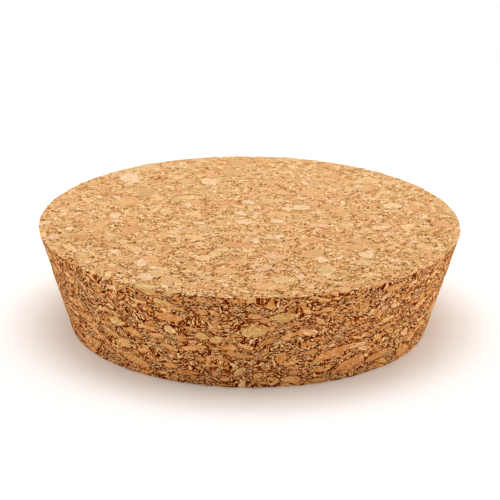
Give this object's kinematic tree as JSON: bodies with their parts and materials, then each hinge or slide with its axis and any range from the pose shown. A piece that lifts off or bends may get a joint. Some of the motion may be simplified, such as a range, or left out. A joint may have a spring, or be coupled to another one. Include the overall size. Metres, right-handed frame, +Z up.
{
  "type": "cork stopper",
  "caption": "Tapered round stopper of pressed cork granules that wedges into the mouth of a jar or canister.",
  "frame": {"origin": "centre of the flat base", "axes": "+Z runs up the stopper's axis, from the narrow base to the broad top"},
  "size_m": [0.1, 0.1, 0.025],
  "materials": {
    "cork": "matte pressed cork granules, sanded"
  },
  "bodies": {
    "root": {"cork_stopper": "cork"}
  },
  "joints": []
}
